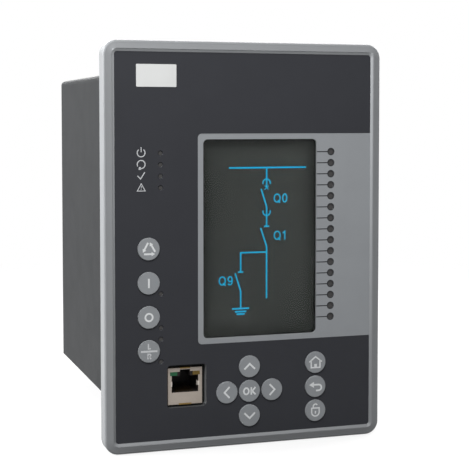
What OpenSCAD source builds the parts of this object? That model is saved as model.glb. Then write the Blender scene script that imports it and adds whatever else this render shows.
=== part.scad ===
// Panel-mounted protection relay with a display, a keypad and a service port.
// Every module is drawn as seen from the front: x to the right, y up, z towards the viewer.
// z = 0 is the panel that the front frame seats on. upright() then stands the part with Z up, facing -Y.

/* [Front frame] */
// Width of the front frame
frame_w = 127; // [126:0.5:140]
// Height of the front frame
frame_h = 177; // [176:0.5:190]
// Outer corner radius of the front frame
frame_corner_r = 6; // [5.5:0.25:8]
// Width of the raised border around the overlay
border_w = 4.75; // [4.25:0.05:5.25]
// Height of the overlay's face above the panel
overlay_front = 7.6; // [7.5:0.1:9]
// Height of the border's crest above the overlay
crest_h = 0.95; // [0.5:0.05:1.4]
// Width of the sloped lip between the crest and the overlay
lip_w = 1.2; // [0.8:0.05:1.6]
// Fall of the border's face from the crest to its shoulder
border_fall = 0.6; // [0.2:0.05:0.9]
// Radius of the border's outer edge
border_edge_r = 1.3; // [0.6:0.05:1.6]
// Thickness of the frame's floor behind the overlay
floor_t = 1.5; // [1.2:0.05:1.8]
// Thickness of the rim around the flange
rim_t = 2.2; // [1.6:0.1:2.8]

/* [Display] */
// Width of the display window
window_w = 52.55; // [46:0.05:53]
// Height of the display window
window_h = 86.75; // [78:0.05:88]
// Sideways place of the window's centre
window_x = 6.6; // [5.5:0.1:7]
// Height of the window's centre above the frame's lower edge
window_y = 91.5; // [91:0.1:93.5]
// Corner radius of the window
window_r = 2.1; // [1:0.1:3]
// Margin of the light field around the window
field_margin = 2.4; // [1.5:0.1:2.8]
// Corner radius of the light field
field_r = 1.8; // [0.6:0.1:2.4]

/* [Keys] */
// Diameter of a key
key_d = 9.7; // [8.5:0.05:9.8]
// Height of a key above the overlay
key_proud = 0.6; // [0.4:0.05:0.9]
// Travel of a key
key_travel = 0.5; // [0.3:0.05:0.5]
// Rounding of a key's front edge
key_edge_r = 0.25; // [0.1:0.05:0.4]
// Sideways place of the control keys
control_key_x = -44.15; // [-44.5:0.05:-44]
// Height of the top control key above the frame's lower edge
control_key_y = 88.1; // [87:0.1:89]
// Pitch of the control keys
control_key_pitch = 14.7; // [13.6:0.05:14.9]
// Sideways place of the OK key
menu_key_x = 1.35; // [0.5:0.05:3]
// Height of the OK key above the frame's lower edge
menu_key_y = 23.85; // [23.5:0.05:24.1]
// Sideways pitch of the menu keys
menu_pitch_x = 10.45; // [10.3:0.05:12]
// Upward pitch of the menu keys
menu_pitch_y = 10.9; // [10.8:0.05:11.1]
// Sideways place of the home, back and lock keys
page_key_x = 32.5; // [31:0.1:33.5]

/* [Lights] */
// Number of alarm lights
alarm_count = 16; // [8:1:16]
// Diameter of an alarm light's hole
alarm_hole_d = 2.9; // [2:0.1:3.2]
// Sideways place of the alarm lights
alarm_x = 39.7; // [39.2:0.1:41]
// Height of the top alarm light above the frame's lower edge
alarm_y = 129.15; // [128:0.05:130]
// Pitch of the alarm lights
alarm_pitch = 4.935; // [4.6:0.005:5]
// Diameter of a status light's hole
status_hole_d = 1.9; // [1.5:0.1:2.1]
// Sideways place of the status lights
status_x = -38.7; // [-38.8:0.05:-38.4]
// Height of the top status light above the frame's lower edge
status_y = 129; // [126.5:0.1:132.5]
// Pitch of the status lights
status_pitch = 4.93; // [4.5:0.01:5.5]
// Height of a key's light above or below its key
key_light_dy = 4.88; // [4.6:0.02:5.2]

/* [Service port] */
// Sideways place of the port's centre
port_x = -27.2; // [-28:0.1:-26.5]
// Height of the port's centre above the frame's lower edge
port_y = 27.9; // [27:0.1:29]
// Width of the opening in the front
port_opening_w = 17.7; // [17:0.1:18.2]
// Height of the opening in the front
port_opening_h = 18.7; // [17.6:0.1:19.2]
// Corner radius of the opening
port_opening_r = 1.7; // [0.5:0.1:2]
// Depth of the socket's face behind the overlay
port_recess = 2; // [1.9:0.1:3]
// Width of a network socket
jack_w = 15.4; // [15.2:0.1:16.2]
// Height of a network socket
jack_h = 16; // [15.8:0.1:16.4]
// Depth of a network socket
jack_d = 17; // [16:0.1:18]
// Depth of the plug's hollow in a socket
jack_hollow_d = 13.5; // [12:0.1:14]

/* [Case] */
// Width of the case
case_w = 102; // [101.5:0.1:103.5]
// Reach of the frame beyond the case above and below
case_cover_y = 12.7; // [12:0.1:13.5]
// Height of the case's middle above the frame's middle
case_rise = 0.4; // [0:0.1:0.8]
// Depth of the case behind the panel
case_d = 165.7; // [155:0.1:190]
// Sheet thickness of the case
case_wall = 1.5; // [1.2:0.1:1.8]
// Radius of the case's bent edges
case_bend_r = 3; // [2.2:0.1:4]
// Thickness of the pressed gasket behind the flange
gasket_t = 0.8; // [0.6:0.1:1]
// Width of the gasket's band
gasket_w = 3.6; // [2.5:0.1:3.7]
// Diameter of a clamp hole
clamp_hole_d = 3.3; // [2.5:0.1:4.5]
// Depth of the clamp holes behind the panel
clamp_hole_depth = 22; // [18:0.5:25]
// Spacing of the clamp holes in a side
clamp_hole_spacing = 80; // [60:1:84]

/* [Rear modules] */
// Pitch of the module slots
slot_pitch = 19; // [18.8:0.05:19.1]
// Height of the rear wall's strip below the module plates
rear_strip_h = 9.9; // [9:0.1:12]
// Thickness of a module plate
plate_t = 1.5; // [1:0.1:2]
// Thickness of a circuit board
card_t = 1.6; // [1.2:0.1:1.6]
// Width of a terminal plug
plug_w = 13; // [11:0.1:14]
// Length of a terminal plug behind the plate
plug_out = 13; // [10:0.5:16]
// Pitch of the narrow terminals
narrow_pitch = 5.08; // [4.6:0.02:5.1]
// Pitch of the current terminals
current_pitch = 6.35; // [5.4:0.05:7]
// Pitch of the voltage terminals
voltage_pitch = 7.62; // [6:0.02:8]

/* [Hidden] */
$fn = 64;

// Play between parts that slide in or lie beside each other
side_gap = 0.1;
// Overlap of joined solids and overshoot of cuts
lap = 1;

// Datum of the front's heights, and the front layers above the panel
frame_bottom = -frame_h / 2;
film_t = 0.3;
floor_front = overlay_front - film_t;
floor_back = floor_front - floor_t;
crest_front = overlay_front + crest_h;
overlay_w = frame_w - 2 * border_w;
overlay_h = frame_h - 2 * border_w;
overlay_r = frame_corner_r - border_w;
flange_back = gasket_t;
flange_front = flange_back + case_wall;

// Case shell
case_h = frame_h - 2 * case_cover_y;
case_top = case_rise + case_h / 2;
case_bottom = case_rise - case_h / 2;
case_inner_w = case_w - 2 * case_wall;
case_inner_top = case_top - case_wall;
case_inner_bottom = case_bottom + case_wall;
rear_inner = -case_d + case_wall;
gasket_gap = 0.4;
gasket_in_w = case_w + 2 * gasket_gap;
gasket_in_h = case_h + 2 * gasket_gap;
gasket_in_r = 1.5;

// Keys: two ears hold a key behind the floor, and its foot stops just short of a dome
ear_t = 0.8;
ear_w = 3.2;
ear_reach = 1.5;
key_foot_d = 4;
key_foot = 0.2;
key_rest_gap = 0.1;
dome_d = 5;
dome_h = 0.35;
key_play = 0.12;
key_hole_d = key_d + 2 * key_play;
ear_back = floor_back - ear_t;
key_front = overlay_front + key_proud;
control_keys = [
    for (i = [0:3])
        [control_key_x, frame_bottom + control_key_y - i * control_key_pitch]
];
menu_row = frame_bottom + menu_key_y;
up_key = [menu_key_x, menu_row + menu_pitch_y];
left_key = [menu_key_x - menu_pitch_x, menu_row];
ok_key = [menu_key_x, menu_row];
right_key = [menu_key_x + menu_pitch_x, menu_row];
down_key = [menu_key_x, menu_row - menu_pitch_y];
page_keys = [for (i = [1, 0, -1]) [page_key_x, menu_row + i * menu_pitch_y]];
all_keys = concat(control_keys, [up_key, left_key, ok_key, right_key, down_key], page_keys);
ears_upright = 90;
ears_level = 0;
ears_slanted = 45;

// Front board behind the keys
board_t = 1.2;
board_front = ear_back - key_foot - key_travel - key_rest_gap - dome_h;
board_back = board_front - board_t;
board_key_margin = 0.7;
board_alarm_margin = 7;
board_case_gap = 4;
window_at = [window_x, frame_bottom + window_y];
board_left = control_key_x - key_d / 2 - board_key_margin;
board_right = alarm_x + board_alarm_margin;
board_bottom = down_key.y - key_d / 2 - board_key_margin;
board_top = case_inner_top - board_case_gap;

// Lights: clear pins in the floor, each in front of a lamp on the board
light_gap = 0.1;
light_sink = 0.35;
light_dip = 0.25;
light_bar_t = 0.6;
alarm_bar_w = 3.4;
status_bar_w = 1.2;
status_bar_shift = 0.4;
lamp_w = 1.6;
lamp_h = 0.9;
lamp_t = 0.6;
alarm_lights = [for (i = [0:alarm_count - 1]) [alarm_x, frame_bottom + alarm_y - i * alarm_pitch]];
status_lights = [for (i = [0:3]) [status_x, frame_bottom + status_y - i * status_pitch]];
key_lights = [
    [status_x, control_keys[1].y - key_light_dy],
    [status_x, control_keys[2].y - key_light_dy],
    [status_x, control_keys[3].y + key_light_dy],
    [status_x, control_keys[3].y - key_light_dy]
];

// Display: a clear pane in the floor, and a module with a metal frame in the board's cut-out
pane_t = 0.9;
pane_margin = 1.2;
pane_w = window_w + 2 * pane_margin;
pane_h = window_h + 2 * pane_margin;
glass_margin = 2;
glass_w = window_w + 2 * glass_margin;
glass_h = window_h + 2 * glass_margin;
glass_t = 1.8;
lcd_sheet = 0.4;
lcd_frame_w = glass_w + 2 * (lcd_sheet + side_gap);
lcd_frame_h = glass_h + 2 * (lcd_sheet + side_gap);
lcd_view_margin = 0.4;
glass_front = floor_back - lcd_sheet;
glass_back = glass_front - glass_t;
backlight_t = 3;
backlight_back = glass_back - backlight_t;
lcd_ear_l = 5;
lcd_ear_h = 8;
lcd_ear_t = 0.8;
lcd_ear_rise = 30;
cutout_gap = 0.4;

// Screws of the board and the frame
standoff_d = 4.5;
board_screw_d = 1.9;
board_screw_head_d = 3.6;
board_screw_head_t = 1;
board_screw_bite = 2.4;
fixing_inset = 4;
fixing_rise = 4;
fixing_left = board_left + fixing_inset;
fixing_right = board_right - fixing_inset;
board_fixings = [
    [fixing_left, board_top - fixing_inset],
    [fixing_right, board_top - fixing_inset],
    [fixing_left, (up_key.y + menu_row) / 2],
    [fixing_right, menu_row],
    [(menu_key_x + page_key_x) / 2, up_key.y + fixing_rise],
    [left_key.x, up_key.y + fixing_rise]
];
flange_gap = 0.2;
flange_w = frame_w - 2 * (rim_t + flange_gap);
flange_h = frame_h - 2 * (rim_t + flange_gap);
flange_r = frame_corner_r - rim_t - flange_gap;
frame_screw_d = 2.4;
frame_screw_head_d = 4.6;
frame_screw_sink = 1.1;
frame_screw_bite = 3;
boss_d = 5.6;
frame_fixing_inset = 5.3;
frame_fixing_x = frame_w / 2 - frame_fixing_inset;
frame_fixing_y = frame_h / 2 - frame_fixing_inset;
frame_fixings = [for (sx = [-1, 1], sy = [-1, 0, 1]) [sx * frame_fixing_x, sy * frame_fixing_y]];

// Network sockets, drawn about the middle of their face with the latch at the top
jack_sheet = 0.3;
jack_gap = 0.05;
jack_mouth_w = 12;
jack_mouth_top = 4.4;
jack_mouth_bottom = -2.75;
jack_notch_w = 4.6;
jack_notch_wall = 0.7;
jack_notch_top = jack_h / 2 - jack_notch_wall;
jack_light_w = 3.2;
jack_light_h = 1.6;
jack_light_x = 5.1;
jack_light_y = 5.5;
jack_light_d = 9;
jack_lights_top = jack_light_y + jack_light_h / 2 + jack_gap;
contact_count = 8;
contact_pitch = 1.02;
contact_w = 0.45;
contact_t = 0.35;
contact_rise = 1.7;
contact_foot = 1.2;
contact_start = 1.5;
contact_end = 11;
port_at = [port_x, frame_bottom + port_y];
port_offset = [-0.3, -0.35];
jack_at = port_at + port_offset;
port_collar_t = 0.8;
port_collar_gap = 0.3;
port_collar_back = board_front + port_collar_gap;
port_face = overlay_front - port_recess;
port_back = port_face - jack_d;
port_board_side = 25;
pillar_d = 4;
pillar_reach = 10.4;

// Rear modules: plates on the rear wall, with their cards in guides behind, one slot for each plate
slot_count = 5;
plate_gap = 0.3;
plate_w = slot_pitch - plate_gap;
plate_top_gap = 0.2;
plate_top = case_top - case_bend_r - plate_top_gap;
plate_h = plate_top - case_bottom - rear_strip_h;
plate_y = plate_top - plate_h / 2;
plate_lap = 5.5;
plate_screw_inset = 2.8;
plate_screw_d = 2.5;
plate_screw_head_d = 4.8;
plate_screw_head_t = 1.8;
plate_screw_tip = 3;
plate_cross_l = 2.8;
plate_cross_w = 0.7;
plate_cross_d = 1;
plate_hole_d = 3;
plate_back = -case_d - plate_t;
rear_window_w = slot_count * slot_pitch;
rear_window_h = plate_h - 2 * plate_lap;
plate_screw_ys = [for (s = [-1, 1]) plate_y + s * (plate_h / 2 - plate_screw_inset)];
slot_xs = [for (i = [0:slot_count - 1]) (i - (slot_count - 1) / 2) * slot_pitch];
current_slot = slot_xs[0];
voltage_slot = slot_xs[1];
outputs_slot = slot_xs[slot_count - 3];
inputs_slot = slot_xs[slot_count - 2];
processor_slot = slot_xs[slot_count - 1];
card_face_shift = -8.2;
card_end_gap = 0.6;
card_edge_gap = 0.7;
card_h = rear_window_h - 2 * card_edge_gap;
card_back = rear_inner + card_end_gap;
tab_h = 7;
tab_t = 1.2;

// Backplane that the cards plug into, in slots of the card guides
backplane_front = -30;
backplane_side_gap = 1;
backplane_w = slot_count * slot_pitch - 2 * backplane_side_gap;
backplane_back = backplane_front - card_t;
socket_w = 8;
socket_h = 62;
socket_d = 11;
card_front = backplane_back - socket_d;
groove_gap = 0.15;
groove_depth = 2.6;
groove_floor_gap = 0.2;
guide_base_t = 2;
guide_rail_w = 5;
guide_lead = 2.5;
guide_rear_gap = 6;
guide_side = 1;
tab_guide_gap = 0.5;
tab_l = case_wall + guide_rear_gap - tab_guide_gap;
guide_front = backplane_front + guide_lead;
guide_back = rear_inner + guide_rear_gap;
guide_w = slot_count * slot_pitch + 2 * guide_side;

// Link between the front board and the backplane
link_w = 21;
link_h = 8;
link_d = 8;
link_drop = 2;
link_at = [
    (board_fixings[4].x + board_fixings[5].x) / 2,
    window_at.y - lcd_frame_h / 2 - cutout_gap - link_drop - link_h / 2
];
ribbon_side = 2;
ribbon_w = link_w - 2 * ribbon_side;
ribbon_t = 0.9;

// Terminals
plug_in = 2.5;
plug_front = -case_d + plug_in;
plug_back = plate_back - plug_out;
plug_end = 1.2;
plug_gap = 0.3;
plug_step = 1.4;
plug_chamfer = 0.8;
pole_groove_w = 0.5;
pole_groove_d = 0.5;
plug_tab_gap = 4;
plug_room = card_h - 2 * (tab_h + plug_tab_gap);
wire_w = 3.4;
wire_h = 3.6;
wire_depth = 9;
wire_shift = -3;
screw_shift = 3;
terminal_hole_d = 3.6;
terminal_screw_d = 3.2;
terminal_screw_sink = 1;
terminal_screw_l = 4;
terminal_slot_w = 0.6;
terminal_slot_d = 0.8;
header_d = 9;
supply_poles = 10;
signal_poles = floor((plug_room - plug_end) / narrow_pitch);
voltage_poles = 8;
current_poles = 12;
supply_y = plate_y - (plug_room - plug_h(supply_poles, narrow_pitch)) / 2;
rear_port_drop = 2;
rear_port_at = [
    processor_slot + card_face_shift + jack_h / 2,
    plate_y + (plug_room - jack_w) / 2 - rear_port_drop
];
rear_port_proud = 0.6;
rear_port_face = plate_back - rear_port_proud;

// Earth terminal in the strip of the rear wall below the plates
earth_inset = 14;
earth_x = -case_w / 2 + earth_inset;
earth_y = case_bottom + rear_strip_h / 2;
earth_screw_d = 3.8;
earth_hole_d = 4;
earth_washer_d = 8;
earth_washer_t = 0.8;
earth_head_d = 6.8;
earth_head_t = 2.6;
earth_slot_w = 1;
earth_slot_d = 1.2;
earth_tip = 4;

// Parts on the cards
relay_w = 12.5;
relay_h = 13;
relay_d = 28;
relay_pitch = 18;
relay_count = row_count(relay_h, relay_pitch);
transformer_w = 13;
transformer_side = 24;
transformer_pitch = 28;
transformer_count = row_count(transformer_side, transformer_pitch);
core_w = 9;
core_inset = 3;
parts_z = -92;

module upright() {
    rotate([90, 0, 0])
        children();
}

module rounded_outline(w, h, r) {
    square([w - 2 * r, h], center = true);
    square([w, h - 2 * r], center = true);
    for (sx = [-1, 1], sy = [-1, 1])
        translate([sx * (w / 2 - r), sy * (h / 2 - r)])
            circle(r);
}

// Rectangle that stands on y = 0 and has its two far corners rounded
module arch_outline(w, h, r) {
    translate([-w / 2, 0])
        square([w, h - r]);
    translate([-w / 2 + r, 0])
        square([w - 2 * r, h]);
    for (s = [-1, 1])
        translate([s * (w / 2 - r), h - r])
            circle(r);
}

module slab(w, h, r, z0, z1, at = [0, 0]) {
    translate([at.x, at.y, z0])
        linear_extrude(z1 - z0)
            rounded_outline(w, h, r);
}

module bar(w, h, z0, z1, at = [0, 0]) {
    translate([at.x - w / 2, at.y - h / 2, z0])
        cube([w, h, z1 - z0]);
}

module rod(d, z0, z1, at = [0, 0]) {
    translate([at.x, at.y, z0])
        cylinder(d = d, h = z1 - z0);
}

// Section of the border: x inwards from the outer edge, y forwards from the panel
module border_section() {
    shoulder = crest_front - border_fall;
    side_top = shoulder - border_edge_r;
    polygon([
        [0, 0],
        [0, side_top],
        [border_edge_r, side_top],
        [border_edge_r, shoulder],
        [border_w - lip_w, crest_front],
        [border_w, overlay_front],
        [border_w, flange_front],
        [rim_t, flange_front],
        [rim_t, 0]
    ]);
    translate([border_edge_r, side_top])
        intersection() {
            circle(border_edge_r);
            translate([-border_edge_r, 0])
                square(border_edge_r);
        }
}

module border_turned() {
    translate([frame_corner_r, 0])
        mirror([1, 0])
            border_section();
}

module border_ring() {
    for (i = [0:3]) {
        across = i % 2 == 0 ? frame_w : frame_h;
        along = i % 2 == 0 ? frame_h : frame_w;
        rotate(90 * i)
            translate([across / 2 - frame_corner_r, along / 2 - frame_corner_r, 0]) {
                rotate_extrude(angle = 90)
                    border_turned();
                rotate([90, 0, 0])
                    linear_extrude(along - 2 * frame_corner_r)
                        border_turned();
            }
    }
}

// Holes that the floor, the film and the field share
module front_holes(z0, z1) {
    for (p = all_keys)
        rod(key_hole_d, z0, z1, p);
    for (p = alarm_lights)
        rod(alarm_hole_d, z0, z1, p);
    for (p = concat(status_lights, key_lights))
        rod(status_hole_d, z0, z1, p);
    slab(window_w, window_h, window_r, z0, z1, window_at);
    port_slab(0, z0, z1);
}

// The service port's opening, or with a wall thickness the outside of the collar round it
module port_slab(wall, z0, z1) {
    slab(
        port_opening_w + 2 * wall,
        port_opening_h + 2 * wall,
        port_opening_r + wall,
        z0,
        z1,
        port_at
    );
}

module front_frame() {
    color("#a3a6a8")
        upright()
            difference() {
                union() {
                    border_ring();
                    slab(overlay_w + lap, overlay_h + lap, overlay_r + lap / 2, floor_back, floor_front);
                    for (p = frame_fixings)
                        rod(boss_d, flange_front, floor_back + floor_t / 2, p);
                    for (p = board_fixings)
                        rod(standoff_d, board_front, floor_back + floor_t / 2, p);
                    port_slab(port_collar_t, port_collar_back, floor_back + floor_t / 2);
                }
                front_holes(floor_back - lap, floor_front + lap);
                port_slab(0, port_collar_back - lap, floor_front);
                slab(
                    pane_w + 2 * side_gap,
                    pane_h + 2 * side_gap,
                    window_r + pane_margin + side_gap,
                    floor_back - lap,
                    floor_back + pane_t,
                    window_at
                );
                for (p = frame_fixings)
                    rod(frame_screw_d + side_gap, flange_front - lap, flange_front + frame_screw_bite, p);
                for (p = board_fixings)
                    rod(board_screw_d + side_gap, board_front - lap, board_front + board_screw_bite, p);
            }
}

module overlay_outline() {
    rounded_outline(overlay_w - side_gap, overlay_h - side_gap, overlay_r);
}

// The light field runs from left of the window to the overlay's right edge
module field_outline(gap) {
    field_left = window_x - window_w / 2 - field_margin - gap;
    field_h = window_h + 2 * (field_margin + gap);
    field_w = 2 * frame_w;
    intersection() {
        translate([field_left + field_w / 2, window_at.y])
            rounded_outline(field_w, field_h, field_r);
        overlay_outline();
    }
}

module front_overlay() {
    color("#38393c")
        upright()
            difference() {
                translate([0, 0, floor_front])
                    linear_extrude(film_t)
                        difference() {
                            overlay_outline();
                            field_outline(side_gap / 2);
                        }
                front_holes(floor_front - lap, overlay_front + lap);
                for (p = concat(status_lights, key_lights))
                    light_dip_cut(p);
            }
}

// Funnel in the film round a small light
module light_dip_cut(at) {
    translate([at.x, at.y, floor_front])
        cylinder(d1 = status_hole_d, d2 = status_hole_d + 2 * light_dip, h = film_t);
}

module display_field() {
    color("#8b8e91")
        upright()
            difference() {
                translate([0, 0, floor_front])
                    linear_extrude(film_t)
                        field_outline(0);
                for (p = alarm_lights)
                    rod(alarm_hole_d, floor_front - lap, overlay_front + lap, p);
                slab(window_w, window_h, window_r, floor_front - lap, overlay_front + lap, window_at);
            }
}

module display_window() {
    color("#4a4c4a", 0.4)
        upright()
            slab(pane_w, pane_h, window_r + pane_margin, floor_back, floor_back + pane_t, window_at);
}

module lcd_frame() {
    color("#8f9294")
        upright()
            difference() {
                union() {
                    bar(lcd_frame_w, lcd_frame_h, backlight_back, floor_back, window_at);
                    for (s = [-1, 1])
                        bar(
                            lcd_frame_w + 2 * lcd_ear_l,
                            lcd_ear_h,
                            board_back - lcd_ear_t,
                            board_back,
                            window_at + [0, s * lcd_ear_rise]
                        );
                }
                bar(
                    glass_w + 2 * side_gap,
                    glass_h + 2 * side_gap,
                    backlight_back - lap,
                    glass_front,
                    window_at
                );
                bar(
                    window_w + 2 * lcd_view_margin,
                    window_h + 2 * lcd_view_margin,
                    glass_front - lap,
                    floor_back + lap,
                    window_at
                );
            }
}

module lcd_panel() {
    color("#3a3c39")
        upright()
            bar(glass_w, glass_h, glass_back, glass_front, window_at);
}

module lcd_backlight() {
    color("#e4e6e2")
        upright()
            bar(glass_w, glass_h, backlight_back, glass_back, window_at);
}

module front_board() {
    board_w = board_right - board_left;
    board_h = board_top - board_bottom;
    board_mid = [(board_right + board_left) / 2, (board_top + board_bottom) / 2];
    color("#1b1d1c")
        upright()
            difference() {
                bar(board_w, board_h, board_back, board_front, board_mid);
                bar(
                    lcd_frame_w + 2 * cutout_gap,
                    lcd_frame_h + 2 * cutout_gap,
                    board_back - lap,
                    board_front + lap,
                    window_at
                );
                bar(
                    jack_w + 2 * cutout_gap,
                    jack_h + 2 * cutout_gap,
                    board_back - lap,
                    board_front + lap,
                    jack_at
                );
                for (p = board_fixings)
                    rod(board_screw_d + 2 * side_gap, board_back - lap, board_front + lap, p);
            }
}

module board_screws() {
    head = board_back - board_screw_head_t;
    color("#b9bbbc")
        upright()
            for (p = board_fixings) {
                rod(board_screw_head_d, head, board_back, p);
                rod(board_screw_d, head, board_front + board_screw_bite - side_gap, p);
            }
}

module key_domes() {
    color("#c9c5b4")
        upright()
            for (p = all_keys)
                translate([p.x, p.y, board_front])
                    cylinder(d1 = dome_d, d2 = key_foot_d, h = dome_h);
}

module light_pins(d, places) {
    for (p = places)
        rod(d - 2 * light_gap, floor_back - light_bar_t, overlay_front - light_sink, p);
}

module light_bar(w, places, shift) {
    first = places[0].y;
    last = places[len(places) - 1].y;
    bar(
        w,
        first - last + w,
        floor_back - light_bar_t,
        floor_back,
        [places[0].x + shift, (first + last) / 2]
    );
}

module alarm_light_bar() {
    color("#4a4b4d")
        upright() {
            light_bar(alarm_bar_w, alarm_lights, 0);
            light_pins(alarm_hole_d, alarm_lights);
        }
}

module status_light_bars() {
    color("#55534f")
        upright() {
            light_bar(status_bar_w, status_lights, status_bar_shift);
            light_pins(status_hole_d, status_lights);
            light_bar(status_bar_w, key_lights, status_bar_shift);
            light_pins(status_hole_d, key_lights);
        }
}

module board_lights() {
    color("#e9e4c8")
        upright()
            for (p = concat(alarm_lights, status_lights, key_lights))
                bar(lamp_w, lamp_h, board_front, board_front + lamp_t, p);
}

// Mouth of a network socket up to a given height, with the notch for the plug's latch
module jack_mouth(top, z0, z1) {
    bar(jack_mouth_w, top - jack_mouth_bottom, z0, z1, [0, (top + jack_mouth_bottom) / 2]);
    bar(jack_notch_w, jack_notch_top, z0, z1, [0, jack_notch_top / 2]);
}

module jack_lights_cut(gap, z0, z1) {
    for (s = [-1, 1])
        bar(
            jack_light_w + 2 * gap,
            jack_light_h + 2 * gap,
            z0,
            z1,
            [s * jack_light_x, jack_light_y]
        );
}

module jack_shield() {
    difference() {
        bar(jack_w, jack_h, -jack_d, 0);
        bar(
            jack_w - 2 * jack_sheet,
            jack_h - 2 * jack_sheet,
            -jack_d + jack_sheet,
            -jack_sheet
        );
        jack_mouth(jack_lights_top, -lap, lap);
        jack_lights_cut(jack_gap, -lap, lap);
    }
}

module jack_insert() {
    inset = jack_sheet + jack_gap;
    difference() {
        bar(jack_w - 2 * inset, jack_h - 2 * inset, -jack_d + inset, -inset);
        jack_mouth(jack_mouth_top, -jack_hollow_d, lap);
        jack_lights_cut(jack_gap, -jack_light_d, lap);
    }
}

module jack_contacts() {
    rest = jack_mouth_bottom;
    first = -(contact_count - 1) / 2 * contact_pitch;
    for (i = [0:contact_count - 1])
        translate([first + i * contact_pitch - contact_w / 2, 0, 0])
            rotate([90, 0, 90])
                linear_extrude(contact_w)
                    polygon([
                        [rest, -contact_start],
                        [rest, -contact_start - contact_foot],
                        [rest + contact_rise, -contact_end],
                        [rest + contact_rise + contact_t, -contact_end],
                        [rest + contact_t, -contact_start - contact_foot],
                        [rest + contact_t, -contact_start]
                    ]);
}

module at_port() {
    upright()
        translate([jack_at.x, jack_at.y, port_face])
            children();
}

module port_shield() {
    color("#a79d92")
        at_port()
            jack_shield();
}

module port_insert() {
    color("#1b1a19")
        at_port()
            jack_insert();
}

module port_contacts() {
    color("#b98f3c") {
        at_port()
            jack_contacts();
        at_rear_port()
            jack_contacts();
    }
}

module jack_light(side) {
    bar(jack_light_w, jack_light_h, -jack_light_d, 0, [side * jack_light_x, jack_light_y]);
}

module port_light_green() {
    color("#1f6b3f") {
        at_port()
            jack_light(-1);
        at_rear_port()
            jack_light(-1);
    }
}

module port_light_amber() {
    color("#8a6a12") {
        at_port()
            jack_light(1);
        at_rear_port()
            jack_light(1);
    }
}

module port_board() {
    color("#1b1d1c")
        upright()
            bar(port_board_side, port_board_side, port_back - card_t, port_back, jack_at);
}

module port_pillars() {
    color("#b5b7b8")
        upright()
            for (sx = [-1, 1], sy = [-1, 1])
                rod(pillar_d, port_back, board_back, jack_at + pillar_reach * [sx, sy]);
}

module key_section() {
    r = key_d / 2;
    translate([0, ear_back])
        square([r, key_front - key_edge_r - ear_back]);
    translate([0, ear_back])
        square([r - key_edge_r, key_front - ear_back]);
    translate([r - key_edge_r, key_front - key_edge_r])
        intersection() {
            circle(key_edge_r);
            square(key_edge_r);
        }
    translate([0, ear_back - key_foot])
        square([key_foot_d / 2, key_foot]);
}

module key(at, ear_turn) {
    color("#84878a")
        upright()
            translate([at.x, at.y, 0]) {
                rotate_extrude()
                    key_section();
                rotate(ear_turn)
                    bar(key_d + 2 * ear_reach, ear_w, ear_back, floor_back);
            }
}

module panel_gasket() {
    color("#232324")
        upright()
            difference() {
                slab(
                    gasket_in_w + 2 * gasket_w,
                    gasket_in_h + 2 * gasket_w,
                    gasket_in_r + gasket_w,
                    0,
                    flange_back,
                    [0, case_rise]
                );
                slab(gasket_in_w, gasket_in_h, gasket_in_r, -lap, flange_back + lap, [0, case_rise]);
            }
}

module frame_screws() {
    color("#b9bbbc")
        upright()
            for (p = frame_fixings)
                translate([p.x, p.y, flange_back]) {
                    cylinder(d1 = frame_screw_head_d, d2 = frame_screw_d, h = frame_screw_sink);
                    cylinder(d = frame_screw_d, h = case_wall + frame_screw_bite - side_gap);
                }
}

// Box with bent edges at the sides, the top and the rear, and a sharp lower edge
module case_form(inset, front, bottom) {
    r = case_bend_r - inset;
    w = case_w - 2 * inset;
    top = case_top - inset;
    depth = case_d - inset + front;
    height = top - bottom;
    tall = height + 4 * case_bend_r;
    intersection() {
        translate([0, bottom, front - depth])
            linear_extrude(depth)
                arch_outline(w, height, r);
        translate([0, bottom, front])
            rotate([-90, 0, 0])
                linear_extrude(height)
                    arch_outline(w, depth, r);
        translate([w / 2, top - tall / 2, front])
            rotate([-90, 0, 90])
                linear_extrude(w)
                    arch_outline(tall, depth, r);
    }
}

module case_shell() {
    color("#5f6062")
        upright()
            difference() {
                union() {
                    case_form(0, flange_front, case_bottom);
                    slab(flange_w, flange_h, flange_r, flange_back, flange_front);
                }
                case_form(case_wall, flange_back, case_bottom - lap);
                bar(
                    case_inner_w,
                    case_inner_top - case_inner_bottom,
                    flange_back - lap,
                    flange_front + lap,
                    [0, (case_inner_top + case_inner_bottom) / 2]
                );
                bar(rear_window_w, rear_window_h, -case_d - lap, rear_inner + lap, [0, plate_y]);
                for (x = slot_xs, y = plate_screw_ys)
                    rod(plate_screw_d + side_gap, -case_d - lap, rear_inner + lap, [x, y]);
                rod(earth_hole_d, -case_d - lap, rear_inner + lap, [earth_x, earth_y]);
                for (p = frame_fixings)
                    translate([p.x, p.y, flange_back]) {
                        cylinder(d = frame_screw_d + 2 * side_gap, h = case_wall + lap);
                        cylinder(
                            d1 = frame_screw_head_d + 2 * side_gap,
                            d2 = frame_screw_d + 2 * side_gap,
                            h = frame_screw_sink
                        );
                    }
                for (s = [-1, 1])
                    translate([0, s * clamp_hole_spacing / 2, -clamp_hole_depth])
                        rotate([0, 90, 0])
                            cylinder(d = clamp_hole_d, h = case_w + 2 * lap, center = true);
            }
}

// Sheet that closes the case below, with rounded rear corners in the case's bends
module case_floor() {
    sheet_w = case_inner_w - side_gap;
    sheet_l = flange_back - rear_inner - side_gap / 2;
    color("#5f6062")
        upright()
            translate([0, case_bottom, flange_back])
                rotate([-90, 0, 0])
                    linear_extrude(case_wall)
                        arch_outline(sheet_w, sheet_l, case_bend_r);
}

module link_connectors() {
    color("#2a2a2b")
        upright() {
            bar(link_w, link_h, board_back - link_d, board_back, link_at);
            bar(link_w, link_h, backplane_front, backplane_front + link_d, link_at);
        }
}

module link_ribbon() {
    color("#8d8f90")
        upright()
            bar(ribbon_w, ribbon_t, backplane_front + link_d, board_back - link_d, link_at);
}

module backplane() {
    color("#2f6b45")
        upright()
            bar(backplane_w, card_h, backplane_back, backplane_front, [0, plate_y]);
}

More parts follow.
